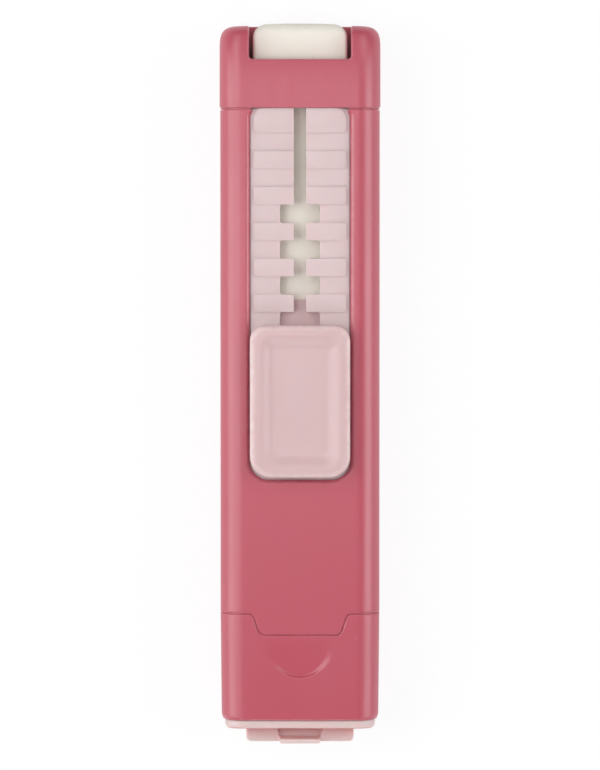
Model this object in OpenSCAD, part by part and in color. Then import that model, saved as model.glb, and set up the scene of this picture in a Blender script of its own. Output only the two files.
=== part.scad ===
// Flat eraser stick with a sliding, self-locking pusher, lying on its back.
// X runs across it, Y along it toward the nose, and Z up out of its front face.
// The origin is the middle of its length and width, on the back face.

/* [Holder] */
// Width of the sleeve and of the cap
body_w = 26; // [25:0.25:30]
// Depth of the sleeve and of the cap, from back to front
body_d = 16; // [14:0.25:20]
// Radius of the four long corners
corner_r = 3.75; // [2.5:0.25:5]
// Wall of the sleeve and of the cap
wall = 1.3; // [1.1:0.05:1.5]
// Length of the sleeve from its cap seam to its nose seam
sleeve_len = 82.3; // [80:0.5:95]
// Length of the cap
cap_len = 17.65; // [15:0.25:25]
// Open seam between two outer shells
seam_gap = 0.15; // [0.1:0.05:0.3]

/* [Nose] */
// Length of the nose collar
nose_len = 13.3; // [11:0.25:18]
// How far the collar stands proud of the sleeve, on each side and in front
nose_proud = 0.1; // [0:0.05:0.3]
// Run of the crowned outer corner across the collar
crown_x = 4.9; // [4:0.1:6]
// Run of the crowned outer corner along the collar
crown_y = 4.55; // [3.5:0.1:6]
// Roundness of the crowned corner, where 2 is an ellipse and more is squarer
crown_n = 4.2; // [2.5:0.1:6]
// Radius of the collar's front and back rims
nose_rim_r = 2; // [1:0.25:3]
// Depth of the open notch in the front of the collar
notch_depth = 5.4; // [3:0.2:8]
// Radius in the bottom corners of that notch
notch_r = 0.6; // [0.3:0.1:1.5]
// Clear gap on each side of the channel's width in the collar's mouth
mouth_gap = 0.4; // [0.2:0.1:0.8]
// Length of the collar's side tabs, inside the sleeve
tab_len = 5; // [3:0.5:8]
// Thickness of the side tabs
tab_t = 1.6; // [1.2:0.1:1.8]
// Height of the side tabs
tab_h = 8; // [5:0.5:9]

/* [Eraser] */
// Width of the eraser
eraser_w = 15.4; // [13:0.1:15.8]
// How far the eraser stands out of the collar at rest
eraser_out = 0.45; // [0.2:0.05:3]
// Radius of the eraser's working corners
eraser_end_r = 2; // [1:0.25:3]
// Radius of the eraser's long edges
eraser_edge_r = 0.9; // [0.4:0.1:2]

/* [Window and track] */
// Width of the window in the sleeve
window_w = 16.3; // [15:0.1:16.8]
// Radius of the window's corners at the nose
window_top_r = 1.4; // [0.8:0.1:3]
// Radius of the window's lower corners
window_low_r = 3; // [1:0.25:4]
// Gap between the window's lower end and the button at rest
window_end_gap = 0.87; // [0.5:0.05:3]
// How far the raised bands lie below the sleeve's front face
track_sink = 0.45; // [0.2:0.05:0.6]
// Height of the raised bands
band_h = 0.35; // [0.2:0.05:0.5]
// Thickness of the track plate with its bands
track_t = 1.35; // [1.1:0.05:1.6]
// Bare margin of the track on each side of the bands
band_margin = 0.75; // [0.4:0.05:1.5]
// Width of the slot along the track
slot_w = 2.03; // [1.6:0.05:3]

/* [Stops] */
// Number of stops, each with its notch in the track
stops = 7; // [5:1:7]
// Distance from one stop to the next
pitch = 5.83; // [5.4:0.05:5.9]
// Distance from the nose seam to the first notch
first_stop = 17.2; // [16:0.1:22]
// Number of recesses between the nose and the first notch, without a notch
bare_recesses = 2; // [1:1:2]
// Length of a notch and of its recess along the track
stop_len = 3; // [2.4:0.1:3.4]
// Width of a notch across the track
stop_w = 6.5; // [5:0.1:8]
// Radius in a notch's corners
stop_r = 0.4; // [0.2:0.05:0.8]
// Play of the lock lug in a notch, on each side
stop_play = 0.18; // [0.1:0.02:0.3]

/* [Button] */
// Width of the button
button_w = 16.4; // [14:0.1:18]
// Length of the button
button_len = 24.9; // [22:0.1:25.5]
// Height of the button pad
button_h = 2.35; // [2:0.05:3.5]
// Radius of the button's corners
button_r = 3; // [1.5:0.1:5]
// Distance from the lock lug to the middle of the button
button_shift = 4.57; // [3.5:0.1:4.8]
// Width of the rim round the dish
rim_w = 1.6; // [1:0.1:2.2]
// Width of the dish's sloping side
dish_slope = 2.3; // [1:0.1:3]
// Radius in the corners of the dish's floor
dish_r = 1.5; // [0.5:0.1:3]
// Depth of the dish
dish_depth = 0.65; // [0.3:0.05:0.9]
// Wall of the button's skirt
skirt_t = 1.4; // [1:0.1:2]
// Depth of the hollow under the button
hollow_depth = 0.7; // [0.4:0.05:0.9]

/* [Lock] */
// Length of the stem along the slot
stem_len = 13; // [8:0.5:14]
// Running gap on each side of the stem in the slot
stem_gap = 0.1; // [0.06:0.01:0.15]
// How far the stem reaches up into the button
stem_in = 1.1; // [0.6:0.1:1.2]
// Wall of the button's socket round the stem
stem_socket_t = 1.2; // [0.8:0.1:2]
// Height of the lock lug
lug_h = 2; // [1.4:0.1:3]
// How far the locked lug's top lies below the bare track face
lug_sink = 0.25; // [0.1:0.05:0.4]
// Clear gap over the lug when the button is pressed
lug_clear = 0.15; // [0.1:0.05:0.3]
// Width of the springy arm
arm_w = 8; // [5:0.5:11]
// Thickness of the springy arm
arm_t = 1; // [0.6:0.1:1.5]
// How deep the arm's tail is let into the carriage
arm_let_in = 0.9; // [0.5:0.1:1]

/* [Channel and carriage] */
// Wall of the channel tray
tray_wall = 1.2; // [0.9:0.1:1.4]
// Floor of the channel tray
tray_floor = 1.1; // [0.8:0.1:1.3]
// Height of the two rails under the tray, which stand on the sleeve's back wall
rail_h = 1.3; // [0.8:0.1:3]
// Width of the two rails and of the side fins that hold the tray in the sleeve
rail_w = 1.2; // [0.8:0.1:2]
// Distance of each rail from the middle of the tray
rail_x = 5.6; // [3:0.2:7]
// Height of the side fins
fin_h = 6; // [3:0.5:8]
// Gap between the eraser and each wall of the channel
channel_gap = 0.2; // [0.1:0.05:0.4]
// Running gap between the carriage and each wall of the channel
run_gap = 0.15; // [0.1:0.05:0.3]
// Running gap under the carriage
floor_gap = 0.2; // [0.1:0.05:0.3]
// Running gap between the carriage and the track
track_gap = 0.3; // [0.2:0.05:0.4]
// Thickness of the carriage's plates in front of and behind the eraser
plate_t = 0.9; // [0.7:0.05:1.1]
// Wall of the carriage's rails and ends
carriage_wall = 1.2; // [0.9:0.1:1.6]
// How far the carriage's front edge lies ahead of the button
carriage_lead = 3.9; // [3:0.1:6]
// Depth of the eraser's socket in the carriage
socket_depth = 6; // [4:0.25:7]
// How far the carriage reaches behind the button
carriage_tail = 1.5; // [0.8:0.1:3]

/* [Cap and end plug] */
// How far the sleeve's tongue reaches down over the cap
tongue_len = 3.5; // [2:0.1:5]
// Half width of the tongue at the middle of its slanted sides
tongue_half = 7.1; // [5:0.1:7.2]
// Slant of the tongue's sides
tongue_slant = 18; // [8:1:24]
// Radius at both ends of the tongue's sides
tongue_r = 1.2; // [0.6:0.1:1.4]
// Gap between the cap's bore and the spigot that it slides on
cap_gap = 0.08; // [0.05:0.01:0.1]
// Wall of the spigot
spigot_wall = 1; // [0.8:0.1:1.5]
// Length of spigot inside the sleeve
spigot_in = 8; // [5:0.5:12]
// Length of spigot inside the cap
spigot_out = 7; // [4.5:0.5:9]
// Width of the thumb scoop in the cap
scoop_w = 11.2; // [8:0.2:12]
// Length of the thumb scoop
scoop_len = 6.35; // [4:0.1:8]
// Depth of the thumb scoop at its lower end
scoop_depth = 0.8; // [0.4:0.05:0.9]
// Radius of the cap's lower corners
cap_low_r = 1.2; // [0.6:0.1:2.5]
// Thickness of the end plug's plate
plug_t = 1.4; // [1:0.1:2]
// Inset of the plate from the cap's outside
plug_inset = 0.7; // [0.4:0.05:1]
// Radius of the plate's outer corners
plug_r = 0.8; // [0.3:0.1:1.2]
// Length of the plug inside the cap
plug_in = 4; // [3:0.5:6]
// Wall of the plug inside the cap
plug_wall = 1.2; // [0.8:0.1:1.6]
// Length of the lug on the end plug
lug_len = 2.45; // [1.8:0.05:4]
// Width of the lug on the end plug
lug_w = 17.6; // [14:0.2:19]
// Height of the lug on the end plug
lug_z = 8; // [6:0.5:9]
// Radius of the lug's outer corners
lug_r = 0.8; // [0.3:0.1:1.2]
// Width of the nail recess where it meets the plate
nail_w = 7.6; // [5:0.2:9]
// Width of the nail ledge
ledge_w = 6.6; // [4:0.2:8]
// Thickness of the nail ledge along the stick
ledge_t = 0.75; // [0.5:0.05:1.2]
// How far the nail ledge stands up above the lug
ledge_up = 3.2; // [1:0.1:3.3]
// Depth of the nail recess in the lug
nail_depth = 4; // [2:0.25:5]

/* [Hidden] */
$fn = 64;
// Overlap that joins or cuts faces that would only touch
eps = 0.01;
// Gap between pieces that are pressed or snapped together
bond_gap = 0.02;
// Gap between faces that pass or meet each other loosely
skim_gap = 0.05;
// Smallest radius left inside a wall
least_r = 0.5;
// Steps in an arc of an outline
curve_steps = 10;
rose = [0.77, 0.38, 0.44];
blush = [0.88, 0.78, 0.79];
cream = [0.95, 0.93, 0.89];

// Places along the stick, from the end plug's ledge up to the eraser's tip
total_len = lug_len + plug_t + cap_len + sleeve_len + nose_len + eraser_out;
end_y = -total_len / 2;
plate_y = end_y + lug_len;
cap_y = plate_y + plug_t;
seam_y = cap_y + cap_len;
nose_y = seam_y + sleeve_len;
horn_y = nose_y + nose_len;
tip_y = horn_y + eraser_out;

// Places of the stops, the button and the carriage, at rest on the last stop
stop_y = [for (i = [0 : stops - 1]) nose_y - first_stop - i * pitch];
rest_y = stop_y[stops - 1];
lug_half = stop_len / 2 - stop_play;
button_y = rest_y + button_shift;
button_low = button_y - button_len / 2;
button_high = button_y + button_len / 2;
window_low = button_low - window_end_gap;
carriage_high = button_high + carriage_lead;
carriage_low = button_low - carriage_tail;
socket_y = carriage_high - socket_depth;
wall_low = socket_y - carriage_wall;
tray_end = carriage_low - 2 * run_gap;
tray_low = tray_end - tray_wall;
slot_low = rest_y - lug_half - 2 * stop_play;

// Heights from the front face down to the eraser
inner_z = body_d - wall;
band_z = body_d - track_sink;
track_z = band_z - band_h;
under_z = band_z - track_t;
flange_z = inner_z - skim_gap;
run_z = under_z - track_gap;
eraser_z = run_z - plate_t;

// Heights from the back wall up to the eraser, which fills what is left between
tray_z = wall + rail_h;
floor_z = tray_z + tray_floor;
carriage_z = floor_z + floor_gap;
eraser_low = carriage_z + plate_t;
eraser_t = eraser_z - eraser_low;
lug_top = track_z - lug_sink;
lug_low = lug_top - lug_h;
press = lug_top - under_z + lug_clear;
button_z = body_d + press + skim_gap;
arm_z = lug_low - bond_gap;

// Widths, from the eraser outward
channel_w = eraser_w + 2 * channel_gap;
carriage_w = channel_w - 2 * run_gap;
tray_w = channel_w + 2 * tray_wall;
mouth_w = channel_w + 2 * mouth_gap;
inner_w = body_w - 2 * wall;
inner_d = body_d - 2 * wall;
inner_r = max(corner_r - wall, least_r);
nose_w = body_w + 2 * nose_proud;
nose_d = body_d + nose_proud;
spigot_w = inner_w - 2 * cap_gap;
spigot_d = inner_d - 2 * cap_gap;
plug_w = body_w - 2 * plug_inset;
plug_d = body_d - 2 * plug_inset;

// Rectangle with true round corners, centred
module rounded(w, d, r) {
    square([w - 2 * r, d], center = true);
    square([w, d - 2 * r], center = true);
    for (x = [-1, 1], y = [-1, 1])
        translate([x * (w / 2 - r), y * (d / 2 - r)])
            circle(r);
}

// Cross-section carried along the stick from y0 to y1
module along(y0, y1) {
    translate([0, y1, 0])
        rotate([90, 0, 0])
            linear_extrude(y1 - y0)
                children();
}

// Plan outline raised from z0 to z1
module raised(z0, z1) {
    translate([0, 0, z0])
        linear_extrude(z1 - z0)
            children();
}

// Side outline carried across the stick over a width w
module across(w) {
    translate([-w / 2, 0, 0])
        rotate([90, 0, 90])
            linear_extrude(w)
                children();
}

// Block between two heights and two places along the stick
module slab(w, y0, y1, z0, z1) {
    translate([-w / 2, y0, z0])
        cube([w, y1 - y0, z1 - z0]);
}

// Cross-section of the sleeve, of its bore, or of any frame inset into it
module section(w, d, r) {
    translate([0, body_d / 2])
        rounded(w, d, r);
}

// Plan rectangle from y0 to y1 whose low and high corners have their own radii
module plan(w, y0, y1, r_low, r_high) {
    low_mid = y0 + r_low;
    high_mid = y1 - r_high;
    translate([-w / 2, low_mid])
        square([w, high_mid - low_mid]);
    translate([-w / 2 + r_low, y0])
        square([w - 2 * r_low, r_low]);
    translate([-w / 2 + r_high, high_mid])
        square([w - 2 * r_high, r_high]);
    for (x = [-1, 1]) {
        translate([x * (w / 2 - r_low), low_mid])
            circle(r_low);
        translate([x * (w / 2 - r_high), high_mid])
            circle(r_high);
    }
}

// Points of an arc about a centre, from angle a0 to angle a1
function arc(cx, cy, r, a0, a1) = [
    for (i = [0 : curve_steps])
        let (a = a0 + (a1 - a0) * i / curve_steps)
            [cx + r * cos(a), cy + r * sin(a)]
];

// Points of one crowned corner of the nose, a quarter of a superellipse
function crown(side) = [
    for (i = [0 : 2 * curve_steps])
        let (a = 90 * i / (2 * curve_steps))
            [
                side * (nose_w / 2 - crown_x + crown_x * pow(cos(a), 2 / crown_n)),
                horn_y - crown_y + crown_y * pow(sin(a), 2 / crown_n)
            ]
];

// Half of the sleeve's tongue: an S curve down from the seam, grown by a gap
function tongue_side(grow) =
    let (
        half = tongue_half + grow,
        bottom = seam_y - tongue_len - grow,
        lean = tan(tongue_slant),
        middle = (seam_y + bottom) / 2,
        turn = tongue_r * tan((90 - tongue_slant) / 2),
        low_x = half - lean * (middle - bottom),
        high_x = half + lean * (seam_y - middle)
    )
    concat(
        arc(low_x - turn, bottom + tongue_r, tongue_r, -90, -tongue_slant),
        arc(high_x + turn, seam_y - tongue_r, tongue_r, 180 - tongue_slant, 90)
    );

// Plan outline of the tongue, with a length of the sleeve above it
module tongue(grow) {
    right = tongue_side(grow);
    left = [for (i = [len(right) - 1 : -1 : 0]) [-right[i][0], right[i][1]]];
    root = [
        [right[len(right) - 1][0], seam_y + wall],
        [-right[len(right) - 1][0], seam_y + wall]
    ];
    polygon(concat(right, root, left));
}

// Plan outline of the open window above the track, grown or shrunk by a gap
module window(gap) {
    plan(window_w - 2 * gap, window_low + gap, nose_y + skim_gap - gap,
        window_low_r, window_top_r);
}

// Nose collar: the crowned front end, open at the mouth and notched in its front face
module nose_collar() {
    color(rose)
        difference() {
            union() {
                intersection() {
                    along(nose_y, horn_y)
                        translate([0, nose_d / 2])
                            rounded(nose_w, nose_d, corner_r);
                    raised(0, nose_d)
                        polygon(concat(
                            [[-nose_w / 2, nose_y], [nose_w / 2, nose_y]],
                            crown(1),
                            [for (i = [2 * curve_steps : -1 : 0]) crown(-1)[i]]
                        ));
                    across(nose_w)
                        translate([nose_y, 0]) {
                            square([nose_len - nose_rim_r, nose_d]);
                            translate([0, nose_rim_r])
                                square([nose_len, nose_d - 2 * nose_rim_r]);
                            for (z = [nose_rim_r, nose_d - nose_rim_r])
                                translate([nose_len - nose_rim_r, z])
                                    circle(nose_rim_r);
                        }
                }
                for (x = [-1, 1])
                    translate([x * (inner_w - tab_t) / 2 - x * skim_gap, 0, 0])
                        slab(tab_t, nose_y - tab_len, nose_y + eps,
                            (body_d - tab_h) / 2, (body_d + tab_h) / 2);
            }
            slab(mouth_w, nose_y - eps, horn_y + eps, floor_z - floor_gap, under_z);
            raised(under_z - eps, nose_d + eps)
                plan(mouth_w, horn_y - notch_depth, horn_y + 2 * notch_r, notch_r, notch_r);
        }
}

// Body sleeve: the long outer shell, with its window and the tongue over the cap
module body_sleeve() {
    color(rose)
        difference() {
            union() {
                along(seam_y, nose_y - seam_gap)
                    section(body_w, body_d, corner_r);
                raised(inner_z, body_d)
                    tongue(0);
            }
            along(seam_y - eps, nose_y)
                section(inner_w, inner_d, inner_r);
            raised(inner_z - eps, body_d + eps)
                window(0);
        }
}

// Ribbed track: the slotted plate in the window, with the notches for the lock
module ribbed_track() {
    top = nose_y - skim_gap;
    band_w = window_w - 4 * skim_gap - 2 * band_margin;
    color(blush)
        difference() {
            union() {
                slab(tray_w, tray_low, top, under_z, flange_z);
                raised(under_z, track_z)
                    window(2 * skim_gap);
                for (i = [-bare_recesses : stops - 1])
                    slab(band_w, stop_y[0] - (i + 1) * pitch + stop_len / 2,
                        stop_y[0] - i * pitch - stop_len / 2, track_z - eps, band_z);
                raised(track_z - eps, band_z)
                    plan(band_w, stop_y[0] + bare_recesses * pitch + stop_len / 2, top,
                        stop_r, window_top_r);
            }
            slab(slot_w, slot_low, nose_y, under_z - eps, body_d);
            for (y = stop_y)
                raised(under_z - eps, body_d)
                    plan(stop_w, y - stop_len / 2, y + stop_len / 2, stop_r, stop_r);
        }
}

// Channel tray: the trough that the eraser and its carriage slide in
module channel_tray() {
    fin_y = [tray_low, (tray_low + nose_y) / 2];
    color(blush)
        difference() {
            union() {
                slab(tray_w, tray_low, nose_y - skim_gap, tray_z, under_z);
                for (x = [-1, 1])
                    translate([x * rail_x, 0, 0])
                        slab(rail_w, tray_low, nose_y - tab_len, wall, tray_z + eps);
                for (y = fin_y)
                    slab(inner_w - 2 * bond_gap, y, y + rail_w,
                        (body_d - fin_h) / 2, (body_d + fin_h) / 2);
            }
            slab(channel_w, tray_end, nose_y, floor_z, under_z + eps);
        }
}

// Cap spigot: the ring fixed in the sleeve's lower end, which the cap slides onto
module cap_spigot() {
    color(blush)
        difference() {
            union() {
                along(seam_y - spigot_out, seam_y + spigot_in)
                    section(spigot_w, spigot_d, inner_r - cap_gap);
                along(seam_y + seam_gap, seam_y + spigot_in)
                    section(inner_w - 2 * bond_gap, inner_d - 2 * bond_gap, inner_r - bond_gap);
            }
            along(seam_y - spigot_out - eps, seam_y + spigot_in + eps)
                section(spigot_w - 2 * spigot_wall, spigot_d - 2 * spigot_wall,
                    max(inner_r - spigot_wall, least_r));
        }
}

// Pusher carriage: an open frame whose front end is the socket of the eraser
module pusher_carriage() {
    color(blush)
        difference() {
            slab(carriage_w, carriage_low, carriage_high, carriage_z, run_z);
            slab(carriage_w + eps, socket_y, carriage_high + eps, eraser_low, eraser_z);
            slab(carriage_w - 2 * carriage_wall, carriage_low + carriage_wall, wall_low,
                eraser_low, run_z + eps);
            slab(arm_w + 2 * bond_gap, wall_low - eps, wall_low + arm_let_in + bond_gap,
                arm_z - arm_t - bond_gap, run_z + eps);
        }
}

// Springy arm: the strip that carries the lock stem and pushes the button back up
module spring_arm() {
    color(blush)
        slab(arm_w, rest_y - lug_half - arm_t, wall_low + arm_let_in, arm_z - arm_t, arm_z);
}

// Eraser: a flat block with round working corners
module eraser() {
    color(cream)
        intersection() {
            along(socket_y, tip_y)
                translate([0, eraser_low + eraser_t / 2])
                    rounded(eraser_w, eraser_t, eraser_edge_r);
            raised(eraser_low, eraser_z)
                plan(eraser_w, socket_y, tip_y, eraser_edge_r, eraser_end_r);
        }
}

// Slide button: a soft-cornered pad with a dished face and a hollow underside
module slide_button() {
    top = button_z + button_h;
    inset = 2 * (rim_w + dish_slope);
    color(blush)
        translate([0, button_y, 0])
            difference() {
                raised(button_z, top)
                    rounded(button_w, button_len, button_r);
                hull() {
                    raised(top - dish_depth, top - dish_depth + eps)
                        rounded(button_w - inset, button_len - inset, dish_r, $fn = 32);
                    raised(top, top + eps)
                        rounded(button_w - 2 * rim_w, button_len - 2 * rim_w,
                            max(button_r - rim_w, least_r), $fn = 32);
                }
                difference() {
                    raised(button_z - eps, button_z + hollow_depth)
                        rounded(button_w - 2 * skirt_t, button_len - 2 * skirt_t,
                            button_r - skirt_t);
                    stem_plan(stem_socket_t, button_z - 2 * eps, top);
                }
                stem_plan(bond_gap, button_z - eps, button_z + stem_in);
            }
}

// Plan of the stem, grown by a wall or a gap, seen from the middle of the button
module stem_plan(grow, z0, z1) {
    low = -button_shift - lug_half;
    slab(slot_w - 2 * stem_gap + 2 * grow, low - grow, low + stem_len + grow, z0, z1);
}

// Lock stem: the blade through the slot, with the cross lug that drops into a notch
module lock_stem() {
    color(blush) {
        translate([0, button_y, 0])
            stem_plan(0, lug_low, button_z + stem_in - bond_gap);
        slab(stop_w - 2 * stop_play, rest_y - lug_half, rest_y + lug_half, lug_low, lug_top);
    }
}

// End cap: the open-ended shell under the sleeve, with its thumb scoop
module end_cap() {
    scoop_y = seam_y - tongue_len - seam_gap;
    color(rose)
        difference() {
            intersection() {
                along(cap_y, seam_y - seam_gap)
                    section(body_w, body_d, corner_r);
                raised(0, body_d)
                    plan(body_w, cap_y, seam_y + cap_low_r, cap_low_r, cap_low_r);
            }
            along(cap_y - eps, seam_y)
                section(inner_w, inner_d, inner_r);
            raised(inner_z - eps, body_d + eps)
                tongue(seam_gap);
            intersection() {
                raised(inner_z, body_d + eps)
                    polygon([
                        for (i = [0 : 4 * curve_steps])
                            let (a = -180 * i / (4 * curve_steps))
                                [scoop_w / 2 * cos(a), scoop_y + scoop_len * sin(a)]
                    ]);
                across(scoop_w)
                    polygon([
                        [scoop_y + eps, body_d],
                        [scoop_y + eps, body_d + wall],
                        [scoop_y - scoop_len, body_d + wall],
                        [scoop_y - scoop_len, body_d - scoop_depth]
                    ]);
            }
        }
}

// End plug: the pale plate that closes the cap, with a lug and its nail ledge
module end_plug() {
    mid_z = body_d / 2;
    lug_high = mid_z + lug_z / 2;
    recess_low = lug_high - nail_depth;
    color(blush) {
        difference() {
            union() {
                intersection() {
                    along(plate_y, cap_y - bond_gap)
                        section(plug_w, plug_d, corner_r - plug_inset);
                    raised(0, body_d)
                        plan(plug_w, plate_y, cap_y + plug_r, plug_r, plug_r);
                }
                difference() {
                    along(cap_y - 2 * bond_gap, cap_y + plug_in)
                        section(inner_w - 2 * bond_gap, inner_d - 2 * bond_gap,
                            inner_r - bond_gap);
                    along(cap_y, cap_y + plug_in + eps)
                        section(inner_w - 2 * plug_wall, inner_d - 2 * plug_wall,
                            max(inner_r - plug_wall, least_r));
                }
                raised(mid_z - lug_z / 2, lug_high)
                    plan(lug_w, end_y, plate_y + plug_t / 2, lug_r, lug_r / 2);
            }
            raised(recess_low, lug_high + eps)
                polygon([
                    [-ledge_w / 2, end_y + ledge_t],
                    [ledge_w / 2, end_y + ledge_t],
                    [nail_w / 2, plate_y],
                    [-nail_w / 2, plate_y]
                ]);
        }
        slab(ledge_w, end_y, end_y + ledge_t, recess_low - eps, lug_high + ledge_up);
    }
}

nose_collar();
body_sleeve();
ribbed_track();
channel_tray();
cap_spigot();
pusher_carriage();
spring_arm();
eraser();
slide_button();
lock_stem();
end_cap();
end_plug();
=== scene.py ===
import bmesh
import bpy
import numpy as np
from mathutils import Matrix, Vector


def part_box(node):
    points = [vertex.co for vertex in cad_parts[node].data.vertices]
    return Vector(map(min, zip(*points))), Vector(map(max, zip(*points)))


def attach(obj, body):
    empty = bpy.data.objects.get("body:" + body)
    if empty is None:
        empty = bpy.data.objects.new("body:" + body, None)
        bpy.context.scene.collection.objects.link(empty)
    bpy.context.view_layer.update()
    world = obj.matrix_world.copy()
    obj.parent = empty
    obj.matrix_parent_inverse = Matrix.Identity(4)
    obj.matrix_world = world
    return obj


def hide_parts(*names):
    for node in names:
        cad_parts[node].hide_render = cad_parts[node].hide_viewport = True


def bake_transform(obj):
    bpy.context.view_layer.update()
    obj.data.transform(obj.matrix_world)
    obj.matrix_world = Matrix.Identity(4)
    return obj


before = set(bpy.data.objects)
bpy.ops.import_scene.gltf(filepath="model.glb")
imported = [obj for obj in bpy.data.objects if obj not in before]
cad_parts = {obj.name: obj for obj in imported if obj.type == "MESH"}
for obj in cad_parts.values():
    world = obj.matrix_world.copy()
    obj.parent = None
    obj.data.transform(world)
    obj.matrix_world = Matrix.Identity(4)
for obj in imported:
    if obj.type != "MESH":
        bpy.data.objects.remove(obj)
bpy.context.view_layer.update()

# Channel tray
# The real tray is a pale moulded trough, pushed into the sleeve from the nose end. It stands on two
# rails and its side fins hold it in the sleeve. Only its edges show through the slot, so its CAD
# solid stays and gets the pale satin plastic that the carriage, arm and button are moulded in.


def paint(red, green, blue):
    """A colour written in screen values from 0 to 255, as the linear light that a shader takes:
    a straight line in the darks, and a power of 2.4 above them."""
    part = np.array([red, green, blue]) / 255.0
    linear = np.where(part <= 0.04045, part / 12.92, ((part + 0.055) / 1.055) ** 2.4)
    return (*linear.tolist(), 1.0)


def put(tree, kind, inputs=None, **settings):
    """Adds one shader node with its settings, and links or sets each of its listed inputs."""
    made = tree.nodes.new("ShaderNode" + kind)
    for name, value in settings.items():
        setattr(made, name, value)
    for name, value in (inputs or {}).items():
        if isinstance(value, bpy.types.NodeSocket):
            tree.links.new(value, made.inputs[name])
        else:
            made.inputs[name].default_value = value
    return made


def tint(tree, share, first, second):
    """The first colour where the share is 0 and the second where it is 1."""
    return put(tree, "Mix", {0: share, 6: first, 7: second}, data_type="RGBA").outputs[2]


def start_group(name, takes, gives):
    """A shader node group whose sockets are listed as label and kind."""
    tree = bpy.data.node_groups.new(name, "ShaderNodeTree")
    for way, sockets in (("INPUT", takes), ("OUTPUT", gives)):
        for label, kind in sockets.items():
            tree.interface.new_socket(label, in_out=way, socket_type="NodeSocket" + kind)
    return tree, tree.nodes.new("NodeGroupInput").outputs, tree.nodes.new("NodeGroupOutput").inputs


def spark_grain():
    """The skin of a spark-eroded mould. Height is a fine noise. Cloud is a broad noise, drawn out
    along the stick as the melt flowed. Fleck is a dot of pigment or dust in the middle of the few
    Voronoi cells whose drawn value is above bare_share."""
    stretch, bare_share = (1.0, 0.35, 1.0), 0.86
    tree, given, wanted = start_group(
        "spark_grain", {"Place": "Vector", "Grain Scale": "Float"},
        {"Height": "Float", "Cloud": "Float", "Fleck": "Float"})
    fine = put(tree, "TexNoise", {"Vector": given["Place"], "Scale": given["Grain Scale"],
                                  "Detail": 3.0, "Roughness": 0.55})
    flow = put(tree, "VectorMath", {0: given["Place"], 1: stretch}, operation="MULTIPLY")
    broad = put(tree, "TexNoise", {"Vector": flow.outputs[0], "Scale": 140.0, "Detail": 4.0,
                                   "Roughness": 0.6, "Distortion": 0.6})
    cells = put(tree, "TexVoronoi", {"Vector": given["Place"], "Scale": 420.0})
    dot = put(tree, "MapRange", {"Value": cells.outputs["Distance"],
                                 "From Min": 0.07, "From Max": 0.03})
    draw = put(tree, "SeparateColor", {"Color": cells.outputs["Color"]})
    rare = put(tree, "Math", {0: draw.outputs[0], 1: bare_share}, operation="GREATER_THAN")
    fleck = put(tree, "Math", {0: dot.outputs[0], 1: rare.outputs[0]}, operation="MULTIPLY")
    tree.links.new(fine.outputs[0], wanted["Height"])
    tree.links.new(broad.outputs[0], wanted["Cloud"])
    tree.links.new(fleck.outputs[0], wanted["Fleck"])
    return tree


def edge_wear():
    """Handling pales and polishes what sticks out. Wear is the piece's own edge mask, times a noise
    that runs from a quarter to one."""
    tree, given, wanted = start_group(
        "edge_wear", {"Place": "Vector", "Edge": "Float"}, {"Wear": "Float"})
    patch = put(tree, "TexNoise", {"Vector": given["Place"], "Scale": 800.0, "Detail": 4.0,
                                   "Roughness": 0.65})
    left = put(tree, "MapRange", {"Value": patch.outputs[0], "From Min": 0.35, "From Max": 0.7,
                                  "To Min": 0.25, "To Max": 1.0})
    wear = put(tree, "Math", {0: given["Edge"], 1: left.outputs[0]}, operation="MULTIPLY")
    tree.links.new(wear.outputs[0], wanted["Wear"])
    return tree


GRAIN = spark_grain()
WEAR = edge_wear()


def moulded(name, colour, deep, worn, rough, glow, tooth):
    """Satin moulded plastic. Its colour clouds towards deep and pales to worn on flecks and edges.
    Its roughness follows the same cloud within the spread, and wear polishes it. Its grain stands
    up by the tooth, and a share glow of its light travels a little way through it, red furthest."""
    spread, polish = 0.04, -0.06
    material = bpy.data.materials.new(name)
    material.use_nodes = True
    tree = material.node_tree
    shader = tree.nodes["Principled BSDF"]
    shader.inputs["IOR"].default_value = 1.75
    shader.inputs["Subsurface Weight"].default_value = glow
    shader.inputs["Subsurface Radius"].default_value = (1.0, 0.45, 0.4)
    shader.inputs["Subsurface Scale"].default_value = 0.0018
    place = put(tree, "TexCoord").outputs["Object"]
    edge = put(tree, "Attribute", attribute_name="edge").outputs["Fac"]
    skin = put(tree, "Group", {"Place": place, "Grain Scale": 9000.0}, node_tree=GRAIN)
    wear = put(tree, "Group", {"Place": place, "Edge": edge}, node_tree=WEAR)
    mixed = tint(tree, skin.outputs["Cloud"], colour, deep)
    mixed = tint(tree, skin.outputs["Fleck"], mixed, worn)
    mixed = tint(tree, wear.outputs["Wear"], mixed, worn)
    dull = put(tree, "MapRange", {"Value": skin.outputs["Cloud"], "From Min": 0.3, "From Max": 0.7,
                                  "To Min": rough - spread, "To Max": rough + spread})
    polished = put(tree, "Math", {0: wear.outputs["Wear"], 1: polish, 2: dull.outputs[0]},
                   operation="MULTIPLY_ADD")
    bump = put(tree, "Bump", {"Height": skin.outputs["Height"], "Strength": 0.5, "Distance": tooth})
    tree.links.new(mixed, shader.inputs["Base Color"])
    tree.links.new(polished.outputs[0], shader.inputs["Roughness"])
    tree.links.new(bump.outputs[0], shader.inputs["Normal"])
    return material


BLUSH = moulded("blush_plastic", paint(219, 187, 188), paint(212, 179, 181), paint(234, 212, 211),
                rough=0.4, glow=0.3, tooth=0.000012)


def dress(thing, material):
    """Gives a piece one material all over."""
    thing.data.materials.clear()
    thing.data.materials.append(material)


dress(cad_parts["channel_tray"], BLUSH)

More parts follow.
